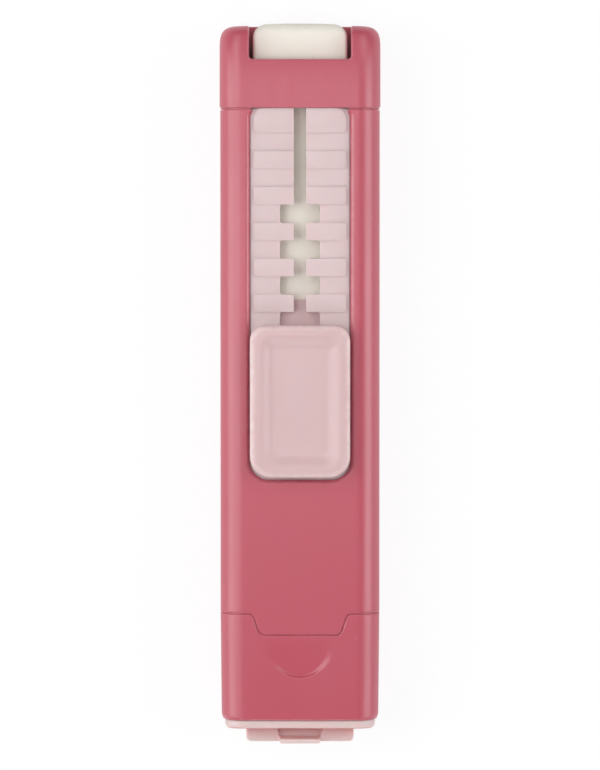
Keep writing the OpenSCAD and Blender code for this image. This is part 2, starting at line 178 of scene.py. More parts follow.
# Carriage and stem
# The real carriage is a pale moulded frame that carries the eraser along the tray, and the stem is
# a blade with a cross lug that locks in the track's notches. Their CAD solids are copied and their
# hard moulded edges rounded, as these show through the notches and the slot.
MM = 0.001


def softened(name, radius, face_z=np.inf, face_radius=0.0):
    """The CAD node's own solid with rounded edges. Its loose triangles are merged, those on one
    flat are joined, and a bevel of that radius, in millimetres, runs along each edge that turns by
    more than sharp_turn. The outer edges that lie above face_z take the larger face_radius."""
    touching, flat_turn, sharp_turn = 1e-6, 0.01, np.radians(30)
    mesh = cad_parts[name].data.copy()
    shape = bmesh.new()
    shape.from_mesh(mesh)
    bmesh.ops.remove_doubles(shape, verts=shape.verts, dist=touching)
    bmesh.ops.dissolve_limit(shape, angle_limit=flat_turn, verts=shape.verts, edges=shape.edges)
    sharp = np.array([edge.calc_face_angle(0.0) > sharp_turn for edge in shape.edges])
    outer = np.array([edge.is_convex for edge in shape.edges])
    low = np.array([min(end.co.z for end in edge.verts) for edge in shape.edges]) / MM
    most = max(radius, face_radius)
    weight = np.where(outer & (low > face_z), face_radius, radius) / most * sharp
    shape.to_mesh(mesh)
    shape.free()
    mesh.attributes.new("bevel_weight_edge", "FLOAT", "EDGE").data.foreach_set("value", weight)
    mesh.shade_smooth()
    piece = bpy.data.objects.new("soft_" + name, mesh)
    bpy.context.scene.collection.objects.link(piece)
    bevel = piece.modifiers.new("soft edges", "BEVEL")
    bevel.width = most * MM
    bevel.segments = 4
    bevel.limit_method = "WEIGHT"
    bevel.harden_normals = True
    return piece


def seat(piece, node, body, material):
    """The piece takes the node's place on its body, with that slot's finish."""
    dress(piece, material)
    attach(piece, body)
    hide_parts(node)


MOULDED_R = 0.12
seat(softened("pusher_carriage", MOULDED_R), "pusher_carriage", "carriage", BLUSH)
seat(softened("lock_stem", MOULDED_R), "lock_stem", "button", BLUSH)

# Eraser
# The real eraser is a block of ivory vinyl, matt and a little chalky. Its long edges are soft, and
# its working end is rounded by use. It is pressed into the carriage's socket.


def quarter(steps):
    """Sine and cosine of a quarter turn in even steps, as two arrays."""
    turn = np.radians(np.linspace(0, 90, steps))
    return np.sin(turn), np.cos(turn)


def rounded_loops(half_x, half_y, radius):
    """Closed outlines of rounded rectangles, one for each value given: each corner's centre plus
    its radius times (cos a, sin a) over a quarter turn, and straight sides between, with a point
    close to each of their ends."""
    half_x, half_y = np.asarray(half_x)[:, None, None], np.asarray(half_y)[:, None, None]
    radius = np.asarray(radius).reshape(len(half_x), -1, 1)
    turn = np.radians(np.linspace(0, 90, 11) + 90 * np.arange(4)[:, None])
    right, front = np.array([[1], [-1], [-1], [1]]), np.array([[1], [1], [-1], [-1]])
    arc = np.stack([right * (half_x - radius) + radius * np.cos(turn),
                    front * (half_y - radius) + radius * np.sin(turn)], -1)
    leave, reach = arc[:, :, -1:], np.roll(arc, -1, axis=1)[:, :, :1]
    share = np.array([0.02, 0.18, 0.34, 0.5, 0.66, 0.82, 0.98])[:, None]
    loop = np.concatenate([arc, leave + (reach - leave) * share], axis=2)
    loop = loop.reshape(len(loop), -1, 2)
    return np.concatenate([loop, loop[:, :1]], axis=1)


def weld(name, grids, mirror=False):
    """One closed skin from grids of points (x, y, z in millimetres, and edge mask). Neighbours in a
    grid make quads, grids that share a border are merged there, and mirror adds the -x half."""
    touching, crease = 2e-6, np.radians(40)
    if mirror:
        grids = grids + [grid * (-1, 1, 1, 1) for grid in grids]
    points = np.concatenate([grid.reshape(-1, 4) for grid in grids])
    faces, start = [], 0
    for grid in grids:
        at = start + np.arange(grid[..., 0].size).reshape(grid.shape[:2])
        quads = np.stack([at[:-1, :-1], at[1:, :-1], at[1:, 1:], at[:-1, 1:]], -1)
        faces += quads.reshape(-1, 4).tolist()
        start += at.size
    mesh = bpy.data.meshes.new(name)
    mesh.from_pydata((points[:, :3] * MM).tolist(), [], faces)
    mask = mesh.attributes.new("edge", "FLOAT", "POINT")
    mask.data.foreach_set("value", points[:, 3].astype(np.float32))
    shape = bmesh.new()
    shape.from_mesh(mesh)
    bmesh.ops.remove_doubles(shape, verts=shape.verts, dist=touching)
    bmesh.ops.recalc_face_normals(shape, faces=shape.faces)
    shape.to_mesh(mesh)
    shape.free()
    mesh.shade_smooth()
    mesh.set_sharp_from_angle(angle=crease)
    piece = bpy.data.objects.new(name, mesh)
    bpy.context.scene.collection.objects.link(piece)
    return piece


def eraser_block(low, high):
    """Rounded rectangles across the block, one for each place y along it. Near the tip the half
    width draws in by end_r (1 - cos a) while y runs on by end_r sin a, the half thickness does the
    same with the smaller tip_r, and the end face swells to its middle as a parabola."""
    end_r, tip_r, back_r, side_r, crown = 2.3, 1.5, 0.4, 0.55, 0.16
    back_gap, tip_gap, rows_along = 1.0, 0.3, 16
    half = (high - low) / 2
    base_y = high[1] - crown
    run, draw = quarter(15)
    back_run, back_draw = quarter(5)
    dome = np.array([0.93, 0.8, 0.6, 0.35, 0.12, 0.0])
    body_y = np.linspace(low[1] + back_gap, base_y - end_r - tip_gap, rows_along)
    y = np.concatenate([[low[1]], low[1] + back_r * (1 - back_draw), body_y,
                        base_y - end_r + end_r * run, base_y + crown * (1 - dome ** 2)])
    lean = np.arcsin(np.clip((end_r * run - end_r + tip_r) / tip_r, 0, 1))
    still, tail = np.zeros(rows_along), np.ones(len(dome))
    sink_x = np.concatenate([[back_r], back_r * (1 - back_run), still, end_r * (1 - draw),
                             end_r * tail])
    sink_z = np.concatenate([[back_r], back_r * (1 - back_run), still, tip_r * (1 - np.cos(lean)),
                             tip_r * tail])
    share = np.concatenate([[0.0], np.ones(len(y) - len(dome) - 1), dome])
    worn = np.concatenate([[0.0], 0 * back_run, still, run, tail])
    half_x, half_z = half[0] - sink_x, half[2] - sink_z
    loops = rounded_loops(half_x, half_z, np.minimum(side_r, half_z)) * share[:, None, None]
    rows = np.ones(loops.shape[1])
    return weld("eraser_block", [np.stack([
        loops[..., 0], y[:, None] * rows, (low[2] + high[2]) / 2 + loops[..., 1],
        worn[:, None] * rows], -1)])


def vinyl():
    """Ivory vinyl: a chalky two-size grain, faint grey rub marks where the edge mask is high, and
    a dull surface whose roughness follows the broad cloud."""
    material = bpy.data.materials.new("eraser_vinyl")
    material.use_nodes = True
    tree = material.node_tree
    shader = tree.nodes["Principled BSDF"]
    shader.inputs["IOR"].default_value = 1.4
    place = put(tree, "TexCoord").outputs["Object"]
    edge = put(tree, "Attribute", attribute_name="edge").outputs["Fac"]
    skin = put(tree, "Group", {"Place": place, "Grain Scale": 5200.0}, node_tree=GRAIN)
    wear = put(tree, "Group", {"Place": place, "Edge": edge}, node_tree=WEAR)
    mixed = tint(tree, skin.outputs["Cloud"], paint(250, 246, 236), paint(246, 240, 228))
    mixed = tint(tree, skin.outputs["Fleck"], mixed, paint(226, 219, 206))
    mixed = tint(tree, wear.outputs["Wear"], mixed, paint(240, 235, 224))
    dull = put(tree, "MapRange", {"Value": skin.outputs["Cloud"], "From Min": 0.3, "From Max": 0.7,
                                  "To Min": 0.62, "To Max": 0.72})
    bump = put(tree, "Bump", {"Height": skin.outputs["Height"], "Strength": 0.6,
                              "Distance": 0.00003})
    tree.links.new(mixed, shader.inputs["Base Color"])
    tree.links.new(dull.outputs[0], shader.inputs["Roughness"])
    tree.links.new(bump.outputs[0], shader.inputs["Normal"])
    return material


eraser_low, eraser_high = (np.array(corner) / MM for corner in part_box("eraser"))
seat(eraser_block(eraser_low, eraser_high), "eraser", "carriage", vinyl())


def spring_strip(low, high):
    """Rounded rectangles across the strip, one for each place y along it. Both ends draw in by a
    quarter circle of edge_r, the radius of its long edges."""
    half, edge_r, rows_along = (high - low) / 2, 0.1, 40
    sine, cosine = quarter(4)
    turn, draw = edge_r * (1 - cosine), edge_r * (1 - sine)
    run = np.linspace(low[1] + edge_r, high[1] - edge_r, rows_along)[1:-1]
    y = np.concatenate([[low[1]], low[1] + turn, run, (high[1] - turn)[::-1], [high[1]]])
    inset = np.concatenate([[edge_r], draw, 0 * run, draw[::-1], [edge_r]])
    share = np.concatenate([[0.0], np.ones(len(y) - 2), [0.0]])[:, None, None]
    loops = rounded_loops(half[0] - inset, half[2] - inset, np.full(len(y), edge_r)) * share
    return weld("spring_strip", [np.stack([
        loops[..., 0], y[:, None] + 0 * loops[..., 0], (low[2] + high[2]) / 2 + loops[..., 1],
        0 * loops[..., 0]], -1)])


arm_low, arm_high = (np.array(corner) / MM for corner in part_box("spring_arm"))
arm = spring_strip(arm_low, arm_high)
dress(arm, BLUSH)
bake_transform(arm)
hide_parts("spring_arm")

# Ribbed track
# The real track is a pale plate with raised bands, a slot down its middle and a notch at each stop.
# It is moulded in one piece and clipped over the tray. The CAD solid is copied and every edge of
# its bands, slot and notches gets a small radius that catches the light, larger on the bands.
PALE = moulded("pale_blush_plastic", paint(222, 200, 200), paint(216, 192, 193),
               paint(236, 220, 219), rough=0.4, glow=0.3, tooth=0.000012)


def mesh_points(piece):
    """The points of the piece's mesh as rows of x, y and z in metres."""
    points = np.empty(3 * len(piece.data.vertices))
    piece.data.vertices.foreach_get("co", points)
    return points.reshape(-1, 3)


TRACK_R, BAND_Z, BAND_R = 0.06, 15.1, 0.2
track = softened("ribbed_track", TRACK_R, BAND_Z, BAND_R)

# The plate's long sides are widened, so that they run on under the window's rim.
SIDE_IN, SIDE_OUT, PLATE_LOW, SIDE_X, WIDE_X = 7.3 * MM, 7.9 * MM, 14.3 * MM, 7.85, 8.1
track_points = mesh_points(track)
across = np.abs(track_points[:, 0])
sides = (across > SIDE_IN) & (across < SIDE_OUT) & (track_points[:, 2] > PLATE_LOW)
track_points[sides, 0] *= WIDE_X / SIDE_X
track.data.vertices.foreach_set("co", track_points.ravel())
seat(track, "ribbed_track", "holder", PALE)

# Cap spigot
# The real spigot is a pale ring, fixed in the sleeve's lower end. The cap slides onto its thin
# leading part, so its edges are soft. It shows when the cap is off.
SPIGOT_R = 0.2
seat(softened("cap_spigot", SPIGOT_R), "cap_spigot", "holder", BLUSH)

# Body sleeve
# The real sleeve is one rose moulding of even wall: a flat tube with round corners, a window with a
# soft rim in its front, and at its lower end a tongue over the cap. It is worked out as a flat
# pattern of arc length s and place y, whose cut edges are rounded, and then rolled into the tube.
ROSE = moulded("rose_plastic", paint(194, 83, 100), paint(189, 77, 95), paint(203, 112, 126),
               rough=0.35, glow=0.0, tooth=0.000014)
WIDTH, DEPTH, CORNER, WALL = 26.0, 16.0, 3.75, 1.3
FLAT, SIDE, BEND = WIDTH / 2 - CORNER, DEPTH - 2 * CORNER, CORNER * np.pi / 2

# The two seams' places and their gap, and the lip, the radius of an edge, there and at the window.
SEAM_Y, NOSE_Y, GAP, LIP, WINDOW_LIP = -37.275, 45.025, 0.24, 0.17, 0.75

# The arc lengths, from the front's middle to the back's, where the flats and bends meet, and the
# normal's lean in degrees at each. AROUND has the arc lengths of the points from the first bend
# on, and STRIP the shares of the way to that bend.
TURNS = np.cumsum([0, FLAT, BEND, SIDE, BEND, FLAT])
LEANS = [0, 0, 90, 90, 180, 180]
AROUND = np.concatenate([[FLAT]] + [
    np.linspace(start, end, count)[1:]
    for start, end, count in zip(TURNS[1:], TURNS[2:], (17, 6, 17, 8))])
STRIP = np.array([0.0, 0.06, 0.35, 0.7, 1.0])


def rolled(s, y, depth, edge=0.0):
    """Rolls the flat pattern. The normal leans by 0 on the front, turns to 90 degrees over the
    first bend and to 180 over the second, and the point lies out from the bend's middle by the
    corner radius less its depth in the wall."""
    s, y, depth, edge = np.broadcast_arrays(s, y, depth, edge)
    lean = np.radians(np.interp(s, TURNS, LEANS))
    across = np.interp(s, TURNS, [0, FLAT, FLAT, FLAT, FLAT, 0])
    up = np.interp(s, TURNS, np.array([1, 1, 1, -1, -1, -1]) * SIDE / 2)
    reach = CORNER - depth
    return np.stack([across + reach * np.sin(lean), y, DEPTH / 2 + up + reach * np.cos(lean),
                     edge], -1)


def chain(*runs):
    """Joins runs of (s, y, normal s, normal y) into one outline of the flat pattern."""
    return np.concatenate([np.stack(np.broadcast_arrays(*run), -1) for run in runs]).T


def bent_run(s, y, radius, start, end, steps, side):
    """An arc of an outline: its centre (s, y) plus the radius times (cos a, sin a). The normal
    points away from the centre for side 1, and towards it for side -1."""
    turn = np.radians(np.linspace(start, end, steps))
    return (s + radius * np.cos(turn), y + radius * np.sin(turn), side * np.cos(turn),
            side * np.sin(turn))


def tongue_path():
    """Lower outline of the sleeve, from the middle of the front to the middle of the back: along
    the tongue's end, up its side, and along the seam. The side is an S of two arcs of turn_r,
    joined by a line that leans by slant degrees. The normal points at the cap."""
    half, low, slant, turn_r = 7.1, -40.775, 18.0, 1.2
    middle, lean = (SEAM_Y + low) / 2, np.tan(np.radians(slant))
    turn = turn_r * np.tan(np.radians(90 - slant) / 2)
    foot_s, root_s = half - lean * (middle - low) - turn, half + lean * (SEAM_Y - middle) + turn
    foot = bent_run(foot_s, low + turn_r, turn_r, -90, -slant, 9, 1)
    root = bent_run(root_s, SEAM_Y - turn_r, turn_r, 180 - slant, 90, 9, -1)
    slope = ([(foot[0][-1] + root[0][0]) / 2], (foot[1][-1] + root[1][0]) / 2, foot[2][-1],
             foot[3][-1])
    return chain((np.linspace(0, foot_s, 33)[:-1], low, 0.0, -1.0), foot, slope, root,
                 (root_s + (FLAT - root_s) * STRIP[1:], SEAM_Y, 0.0, -1.0),
                 (AROUND[1:], SEAM_Y, 0.0, -1.0))


TONGUE = tongue_path()
# The point where the tongue's side has come up to the seam.
ROOT = int(np.argmax(np.isclose(TONGUE[1], SEAM_Y)))


def window_path():
    """Upper outline of the sleeve, from the middle of the back: along the nose seam, round the
    thin tip beside the window, down the window's side and along its lower end. It also gives
    each point's lip and the number of the points before the window's own top corner."""
    side, top_r, low_r, low, top, top_y = 8.15, 1.4, 3.0, -15.5, NOSE_Y - GAP, 43.675
    tip_steps, corner_steps = 7, 9
    rise = top - LIP - top_y
    tip_s = side - top_r + np.sqrt((top_r + LIP) ** 2 - rise ** 2)
    tip = np.degrees(np.arcsin(rise / (top_r + LIP)))
    seam_s = np.concatenate([AROUND[::-1], tip_s + (FLAT - tip_s) * STRIP[-2::-1]])
    foot_s = (side - low_r) * TONGUE[0][:ROOT][::-1] / TONGUE[0][ROOT]
    path = chain((seam_s, top, 0.0, 1.0),
                 bent_run(tip_s, top - LIP, LIP, 90, 180 + tip, tip_steps, 1),
                 bent_run(side - top_r, top_y, top_r, tip, 0, corner_steps, -1),
                 (side, np.linspace(top_y, low + low_r, 30)[1:-1], -1.0, 0.0),
                 bent_run(side - low_r, low + low_r, low_r, 0, -90, 13, -1),
                 (foot_s, low, 0.0, 1.0))
    before = len(seam_s) + tip_steps
    lip = np.interp(np.arange(path.shape[1]), [before, before + corner_steps - 1],
                    [LIP, WINDOW_LIP])
    lip[:len(seam_s)] = seam_lip(seam_s)
    return path, lip, before


def moved(path, inset):
    """The outline's points (s, y), drawn back from the cut by the inset."""
    return np.stack([path[0] - path[2] * inset, path[1] - path[3] * inset], -1)


def between(first, last, steps=15):
    """Rows of points in straight steps from one border to the other, with a row close to each."""
    close = 0.0015
    share = np.concatenate([[0, close], np.linspace(0.04, 0.96, steps), [1 - close, 1]])
    return first[None] + (last - first)[None] * share[:, None, None]


def edge_profile(still, lip, lap):
    """Inset, depth and edge mask down an edge: a quarter circle of the lip from the outside into
    the cut, a ledge that stands out of the cut by the lap to close the seam to the next piece, and
    a quarter circle into the bore. There is a zero in still for each point along the edge."""
    ledge_drop, ledge_low = 0.6, 1.1
    sine, cosine = (part[:, None] for part in quarter(8))
    sine_in, cosine_in = (part[:, None] for part in quarter(4))
    step = np.array([0.0, 1.0, 1.0, 0.0])[:, None]
    top, under = lip + ledge_drop * np.minimum(lip, LIP) + still, ledge_low + still
    inset = np.concatenate([lip * (1 - sine) + still, -lap * step + still,
                            LIP * (1 - cosine_in) + still])
    depth = np.concatenate([lip * (1 - cosine) + still, [top, top, under, under],
                            WALL - LIP * (1 - sine_in) + still])
    mask = np.concatenate([2 * sine * cosine + still, 0 * step + still, 0 * sine_in + still])
    return inset, depth, mask


def seam_lip(s):
    """The seam's lip at each arc length: full on the faces, and small where the bends reach the
    sides, so that the outline seen from the front has no nick there. The lip falls by less in a
    straight line while the sine of the normal's lean grows from start by over."""
    less, start, over = 0.12, 0.87, 0.1
    side = np.sin(np.radians(np.interp(s, TURNS, LEANS)))
    return LIP - less * ((side - start) / over).clip(0, 1)


def cut_edge(path, lip, lap=0.0):
    """Carries the edge's profile along an outline: each point less its normal times the inset, at
    the profile's depth."""
    inset, depth, mask = edge_profile(0 * path[0], lip, lap)
    return rolled(path[0] - path[2] * inset, path[1] - path[3] * inset, depth, mask)


def sleeve_skin(upper, lower, before, depth):
    """One face of the wall: rows beside the window, from its edge round to the back's middle, and
    rows from the window's lower end down to the tongue."""
    beside = upper[before:-ROOT]
    strip = beside[:, :1] + (FLAT - beside[:, :1]) * STRIP
    s = np.concatenate([strip, np.tile(AROUND[1:], (len(beside), 1))], axis=1)
    last = np.stack([s[-1], np.full(s.shape[1], beside[-1, 1])], -1)
    belly = between(np.concatenate([upper[:-ROOT - 1:-1], last]), lower)
    return [rolled(s, beside[:, 1:], depth), rolled(belly[..., 0], belly[..., 1], depth)]


def body_shell():
    """The sleeve's outer and inner skins and the edges between them, as one closed shell. The
    upper edge's ledge runs along the seam and round the window's top corner, and is left out at
    the tip between them and down the window's side."""
    seam_lap, corner_lap = 0.22, 0.2
    upper, lip, before = window_path()
    foot = seam_lip(TONGUE[0])
    grids = sleeve_skin(moved(upper, lip), moved(TONGUE, foot), before, 0.0)
    grids += sleeve_skin(moved(upper, LIP), moved(TONGUE, LIP), before, WALL)
    # The laps at some points of the outline, counted from the window's top corner.
    marks = before + np.array([-9, -8, -2, 0, 8, 10])
    lap = np.interp(np.arange(upper.shape[1]), marks,
                    [seam_lap, 0.0, 0.0, corner_lap, corner_lap, 0.0])
    grids += [cut_edge(upper, lip, lap), cut_edge(TONGUE, foot, seam_lap)]
    return weld("body_shell", grids, mirror=True)


seat(body_shell(), "body_sleeve", "holder", ROSE)

# Nose collar
# The real collar is a rose moulding glued to the sleeve's front end. Its outer corners are crowned,
# its front falls a little towards its end, and the eraser runs through its tunnel, over a back wall
# that reaches further than the notched front.
NOSE_HALF_W, NOSE_HALF_D, HORN_Y, NOTCH_Y = 13.1, 8.05, 58.325, 52.925
NOTCH_HALF, NOTCH_R, NOSE_LIP = 8.3, 0.6, 0.3

# The numbers of points round a bend, down a side and along half the back.
BENDS, SIDES, BACKS = 17, 5, 18


def collar_rows(half_w, y, start_x, sink=0.0):
    """Sections across the collar, one for each y, from start_x on the front round to the middle of
    the back. A section is a rounded rectangle, drawn in all round by sink. Over the last rim_r of
    the length it draws in by a circle of rim_r, and its corners tighten. Its front falls by the
    fourth power of the way along the collar, its back by nothing, and the sides share that evenly.
    Where the front corner has passed start_x, its turn begins at the angle that start_x cuts."""
    rim_r, tighten, fall, worn_length, most_worn = 1.5, 1.75, 0.22, 1.2, 0.5
    half_w, y, start_x, sink = (np.broadcast_to(part, np.shape(y))[:, None]
                                for part in (half_w, y, start_x, sink))
    over = np.clip((y - HORN_Y + rim_r) / rim_r, 0, 1)
    half_d = NOSE_HALF_D - rim_r * (1 - np.sqrt(1 - over ** 2)) - sink
    radius, half_w = CORNER - sink - tighten * over ** 2, half_w - sink
    turn_x = half_w - radius
    flat = start_x + (np.maximum(turn_x, start_x) - start_x) * STRIP[:-1]
    first = np.arcsin(np.clip((start_x - turn_x) / radius, 0, 1))
    lean = first + (np.pi / 2 - first) * np.linspace(0, 1, BENDS)
    last = np.pi / 2 * np.linspace(1, 0, BENDS) + 0 * turn_x
    side = (half_d - radius) * np.linspace(1, -1, SIDES + 2)[1:-1]
    back = turn_x * np.linspace(1, 0, BACKS + 1)[1:]
    x = np.concatenate([flat, turn_x + radius * np.sin(lean), half_w + 0 * side,
                        turn_x + radius * np.sin(last), back], axis=1)
    z = np.concatenate([half_d + 0 * flat, half_d - radius + radius * np.cos(lean), side,
                        radius - half_d - radius * np.cos(last), 0 * back - half_d], axis=1)
    z -= fall * ((y - NOSE_Y) / (NOTCH_Y - NOSE_Y)) ** 4 * (z + half_d) / (2 * half_d)
    worn = np.clip((y - HORN_Y + worn_length) / worn_length, 0, 1) ** 2 * most_worn
    return np.stack([x, y + 0 * x, NOSE_HALF_D + z, worn + 0 * x], -1)


def crown_path(inner_x):
    """The collar's crowned corner in plan: a quarter of a superellipse, its half axes times the
    given power of (cos a, sin a), in even steps of its length until it is inner_x from the
    middle."""
    crown_x, crown_y, power, tries, rows = 4.9, 4.55, 2 / 4.2, 4000, 30
    turn = np.linspace(0, np.pi / 2, tries)
    x = NOSE_HALF_W - crown_x + crown_x * np.cos(turn) ** power
    y = HORN_Y - crown_y + crown_y * np.sin(turn) ** power
    length = np.concatenate([[0], np.cumsum(np.hypot(np.diff(x), np.diff(y)))])
    last = np.interp(-inner_x, -x, length)
    even = np.linspace(0, last, rows)
    return np.interp(even, length, x), np.interp(even, length, y)


def collar_shell():
    """The collar's skin in rows, the rim of the notch and of the open end as a quarter ellipse from
    the skin over the sharp edge to the wall, the walls down to the tunnel's mouth, the tunnel, and
    the rear face. The wall leaves the edge straight down in the notch, at a right angle to it in
    the upright plane along the horn's inner side, and straight back round the open end."""
    floor, roof, ahead, drop, seam_wear = 3.5, 14.2, 14, 6, 0.4
    corner_x, corner_y = NOTCH_HALF - NOTCH_R, NOTCH_Y + NOTCH_R
    sine, cosine = quarter(8)
    corner = len(sine)

    def horn(lip):
        """Rows beside the notch, whose edge keeps off the notch by the lip: round its lower
        corner, and then over the crown."""
        crown_w, crown_y = crown_path(NOTCH_HALF + lip)
        half_w = np.concatenate([np.full(corner, NOSE_HALF_W), crown_w])
        y = np.concatenate([corner_y - (NOTCH_R + lip) * cosine, crown_y])
        start = np.concatenate([corner_x + (NOTCH_R + lip) * sine,
                                np.full(len(crown_w), NOTCH_HALF + lip)])
        return collar_rows(half_w, y, start)

    def brow(y, sink=0.0):
        """Rows below the notch, all the way from the front's middle to the back's middle."""
        rows = collar_rows(NOSE_HALF_W, y, corner_x, sink)
        before = rows[:, :1] * np.ones((ahead, 1))
        before[..., 0] = corner_x * np.linspace(0, 1, ahead + 1)[:-1]
        return np.concatenate([before, rows], axis=1)

    def brink(front, rows, lip):
        """The edge of the opening: across the front, up the horn, over it, down its inner side and
        along the back wall to the middle."""
        over = rows[-1, :-BENDS - BACKS]
        run, low = BENDS + BACKS - drop, floor - lip
        x = np.concatenate([np.full(drop, NOTCH_HALF + lip),
                            (NOTCH_HALF + lip) * np.linspace(1, 0, run + 1)[1:]])
        z = np.concatenate([np.linspace(over[-1, 2], low, drop + 1)[1:], np.full(run, low)])
        inner = np.stack([x, np.full(len(x), over[-1, 1]), z, np.zeros(len(x))], -1)
        return np.concatenate([front[:ahead], rows[:-1, 0], over, inner])

    skin = horn(NOSE_LIP)
    share = np.concatenate([[0, 0.005], np.linspace(0.05, 0.97, 14), [0.995, 1]])
    below = brow(NOSE_Y + LIP + (NOTCH_Y - NOSE_LIP - NOSE_Y - LIP) * share)
    start = brink(below[-1], skin, NOSE_LIP)
    sharp = brink(brow(np.array([NOTCH_Y]))[0], horn(0.0), 0.0)
    top = ahead + len(skin) - 1
    # The edge's own direction at each point, from the points that don't lie on the one before.
    apart = np.linalg.norm(np.diff(sharp[:, :3], axis=0, prepend=-1), axis=1) > 1e-6
    along = np.gradient(sharp[apart][:, 1:3], axis=0)
    along = (along / (np.linalg.norm(along, axis=1, keepdims=True) + 1e-9))[np.cumsum(apart) - 1]
    inward = np.stack([0 * along[:, 0], along[:, 1], -along[:, 0]], -1)
    inward[:ahead + corner] = (0, 0, -1)
    inward[top:] = (0, -1, 0)
    deep = sharp.copy()
    deep[:, :3] += NOSE_LIP * inward
    rim = (sharp + (1 - sine)[:, None, None] * (start - sharp)
           + (1 - cosine)[:, None, None] * (deep - sharp))
    rim[..., 3] = (2 * sine * cosine)[:, None]
    mouth = deep.copy()
    mouth[:top, 2] = roof
    mouth[ahead + corner:top, :2] = (NOTCH_HALF, corner_y)
    mouth[top:, 1] = corner_y
    side = len(mouth) - top - BACKS - BENDS + drop
    mouth[top:top + side, 2] = np.linspace(roof, floor, side)
    mouth[:, 3] = 0.0
    back = mouth.copy()
    back[:, 1] = NOSE_Y
    back[ahead:ahead + corner, 0] = NOTCH_HALF
    rear = np.concatenate([back[:ahead], back[top:]])
    seam = brow(NOSE_Y + LIP * (1 - sine), LIP * (1 - cosine))[::-1]
    seam[..., 3] = seam_wear
    grids = [skin, below, np.stack([skin[-1], start[top:]]),
             np.concatenate([rim, mouth[None], back[None]]), np.concatenate([rear[None], seam])]
    return weld("collar_shell", grids, mirror=True)


seat(collar_shell(), "nose_collar", "holder", ROSE)

# Slide button
# The real button is a pale pad, moulded with a flat rim round a dished face. Under it are a skirt
# and a socket, into which the stem's blade is pressed through the slot.
BUTTON_Y, BUTTON_LOW, BUTTON_TOP = -2.585, 16.95, 19.3


def button_pad():
    """Rounded rectangles from the stem's pocket underneath, over the socket and the skirt and up
    the side, which tucks in towards its foot. The outer edge is a quarter ellipse, edge_w wide and
    edge_r high. Then come the flat rim, a slope down the dish as half a cosine wave, and the floor
    to its middle. The upper corners are tighter than the lower ones."""
    half_x, half_y, corner_r, least_r, under, pocket_z = 8.2, 12.45, 3.0, 0.8, 17.65, 18.05
    edge_w, edge_r, foot_r, draft, rim, slope, dish = 0.95, 0.5, 0.2, 0.06, 1.6, 2.3, 0.65
    foot_tuck, waist_tuck, upper, lower, most_worn = 0.3, 0.14, 0.85, 1.15, 0.8
    pocket_y, pocket_rows, rim_guard = 0.61, 3, 0.97
    pocket, socket, skirt = (0.935, 6.52, 0.1), (2.115, 7.7, 0.8), (6.8, 11.05, 1.6)
    sine, cosine = quarter(9)
    foot_sine, foot_cosine = quarter(4)
    wave = np.linspace(0, 1, 15)
    floor = np.array([0.92, 0.6, 0.3, 0.0])
    inner = np.array([
        (0.0, 0.0, 0.0, pocket_z), (*pocket, pocket_z), (*pocket, BUTTON_LOW),
        (*socket, BUTTON_LOW), (*socket, under), (*skirt, under), (*skirt, BUTTON_LOW)])
    inset = np.concatenate([foot_tuck + foot_r * (1 - foot_sine), [waist_tuck],
                            draft + edge_w * (1 - cosine), [rim * rim_guard],
                            rim + slope * wave])
    z = np.concatenate([BUTTON_LOW + foot_r * (1 - foot_cosine), [(BUTTON_LOW + BUTTON_TOP) / 2],
                        BUTTON_TOP - edge_r * (1 - sine), [BUTTON_TOP],
                        BUTTON_TOP - dish * (1 - np.cos(np.pi * wave)) / 2])
    outer = np.stack([half_x - inset, half_y - inset,
                      np.maximum(corner_r - inset / 2, least_r), z], -1)
    ring = np.concatenate([inner, outer, np.tile(outer[-1], (len(floor), 1))])
    still = 0 * inner[:, 0]
    share = np.concatenate([still + 1, np.ones(len(outer)), floor])[:, None, None]
    shift = pocket_y * (np.arange(len(ring)) < pocket_rows)
    mask = np.concatenate([still, 0 * foot_sine, [0.0], 2 * sine * cosine * most_worn, [0.0],
                           0 * wave, 0 * floor])
    turned = np.where(np.arange(len(ring)) < len(inner), 1.0,
                      np.array([upper, upper, lower, lower])[:, None]).T
    loops = rounded_loops(ring[:, 0], ring[:, 1], ring[:, 2:3] * turned) * share
    rows = np.ones(loops.shape[1])
    return weld("button_pad", [np.stack([
        loops[..., 0], BUTTON_Y + shift[:, None] + loops[..., 1], ring[:, 3:] * rows,
        mask[:, None] * rows], -1)])


seat(button_pad(), "slide_button", "button", BLUSH)

# End cap
# The real cap is a rose moulding that slides over the spigot. The sleeve's tongue reaches over it,
# a thumb scoop is sunk below the tongue, and it draws in a little towards its rounded lower end.
CAP_Y, SCOOP_Y = -54.925, -40.925


